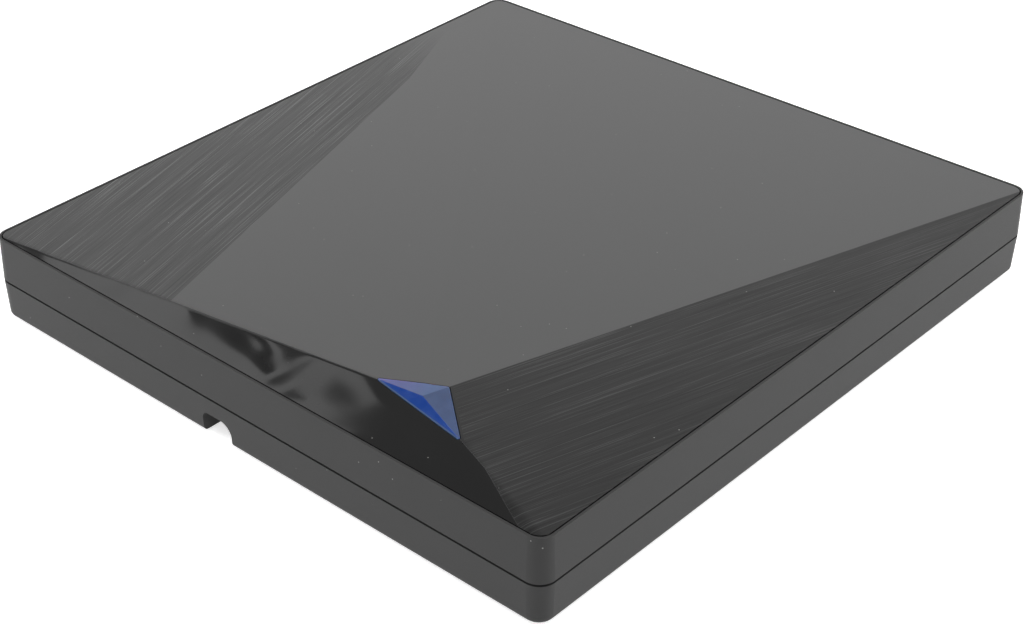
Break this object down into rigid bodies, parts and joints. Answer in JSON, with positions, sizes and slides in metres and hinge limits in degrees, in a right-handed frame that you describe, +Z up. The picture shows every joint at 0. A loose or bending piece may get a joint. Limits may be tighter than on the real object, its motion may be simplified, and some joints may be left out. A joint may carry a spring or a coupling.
{
  "type": "external disc drive",
  "caption": "Slim external optical disc drive with a faceted lid, a blue indicator lens and a motorised disc tray that slides out of the front.",
  "frame": {"origin": "centre of the footprint on the table, under the feet", "axes": "+Z up, +Y towards the rear face with the cord notch, the tray opens towards -Y"},
  "size_m": [0.1354, 0.1424, 0.021],
  "materials": {
    "case_plastic": "fine satin texture",
    "lid_plastic": "matte, brushed and piano black facets",
    "gem": "tinted translucent lens",
    "circuit_board": "solder mask",
    "rubber": "moulded rubber",
    "screw_steel": "zinc plated",
    "sheet_steel": "galvanised sheet",
    "cover_steel": "satin sheet",
    "connector_plastic": "moulded nylon",
    "guide_plastic": "natural acetal",
    "rail_steel": "ground steel",
    "tray_plastic": "moulded plastic",
    "bezel_plastic": "fine satin texture",
    "motor_steel": "plated can",
    "turntable_plastic": "moulded plastic",
    "sled_alloy": "die cast",
    "lens_glass": "coated lens",
    "flex_film": "polyester film"
  },
  "bodies": {
    "housing": {"lower_shell": "case_plastic", "upper_frame": "case_plastic", "top_plate": "lid_plastic", "indicator_gem": "gem", "led_board": "circuit_board", "rubber_feet": "rubber", "housing_screws": "screw_steel", "cord_gland": "rubber", "drive_base_pan": "sheet_steel", "drive_top_cover": "sheet_steel", "cover_screws": "screw_steel", "latch_post": "screw_steel", "main_board": "circuit_board", "drive_socket": "connector_plastic", "bridge_board": "circuit_board", "bridge_plug": "connector_plastic", "cord_header": "connector_plastic", "board_screws": "screw_steel", "left_guide": "guide_plastic", "right_guide": "guide_plastic", "tray_flex_cable": "flex_film"},
    "tray": {"disc_tray": "tray_plastic", "tray_bezel": "bezel_plastic", "switch_board": "circuit_board", "traverse_frame": "sheet_steel", "traverse_cover": "cover_steel", "dampers": "rubber", "damper_screws": "screw_steel", "main_guide_rod": "rail_steel", "side_guide_rod": "rail_steel", "sled_motor": "motor_steel", "spindle_stator": "motor_steel", "latch_pivot": "screw_steel", "latch_solenoid": "motor_steel"},
    "left_rail": {"left_slide_rail": "rail_steel"},
    "right_rail": {"right_slide_rail": "rail_steel"},
    "eject_button": {"eject_button": "bezel_plastic"},
    "turntable": {"turntable": "turntable_plastic", "turntable_pad": "rubber", "clamping_balls": "rail_steel"},
    "pickup": {"pickup_sled": "sled_alloy", "objective_lens": "lens_glass"},
    "lead_screw": {"lead_screw": "rail_steel"},
    "latch": {"latch_lever": "guide_plastic"}
  },
  "joints": [
    {"name": "tray_slide", "type": "slide", "parent": "housing", "child": "tray", "axis": [0, -1, 0], "range_m": [0, 0.126], "deforming": ["tray_flex_cable"]},
    {"name": "left_rail_slide", "type": "slide", "parent": "housing", "child": "left_rail", "axis": [0, -1, 0], "range_m": [0, 0.063]},
    {"name": "right_rail_slide", "type": "slide", "parent": "housing", "child": "right_rail", "axis": [0, -1, 0], "range_m": [0, 0.063]},
    {"name": "eject_press", "type": "slide", "parent": "tray", "child": "eject_button", "axis": [0, 1, 0], "range_m": [0, 0.0007], "stiffness_N_per_m": 400},
    {"name": "turntable_spin", "type": "hinge", "parent": "tray", "child": "turntable", "pos_m": [0, -0.0066, 0.012], "axis": [0, 0, 1], "continuous": true},
    {"name": "pickup_slide", "type": "slide", "parent": "tray", "child": "pickup", "axis": [0.7071, -0.7071, 0], "range_m": [0, 0.032]},
    {"name": "lead_screw_spin", "type": "hinge", "parent": "tray", "child": "lead_screw", "pos_m": [0.01202, 0.00542, 0.00975], "axis": [0.7071, -0.7071, 0], "range_deg": [0, 3840]},
    {"name": "latch_swing", "type": "hinge", "parent": "tray", "child": "latch", "pos_m": [-0.043, -0.05, 0.009], "axis": [0, 0, -1], "range_deg": [0, 16]}
  ],
  "couplings": [
    {"joint": "left_rail_slide", "follows": "tray_slide", "ratio": 0.5},
    {"joint": "right_rail_slide", "follows": "tray_slide", "ratio": 0.5},
    {"joint": "lead_screw_spin", "follows": "pickup_slide", "rad_per_m": 2094.4}
  ]
}
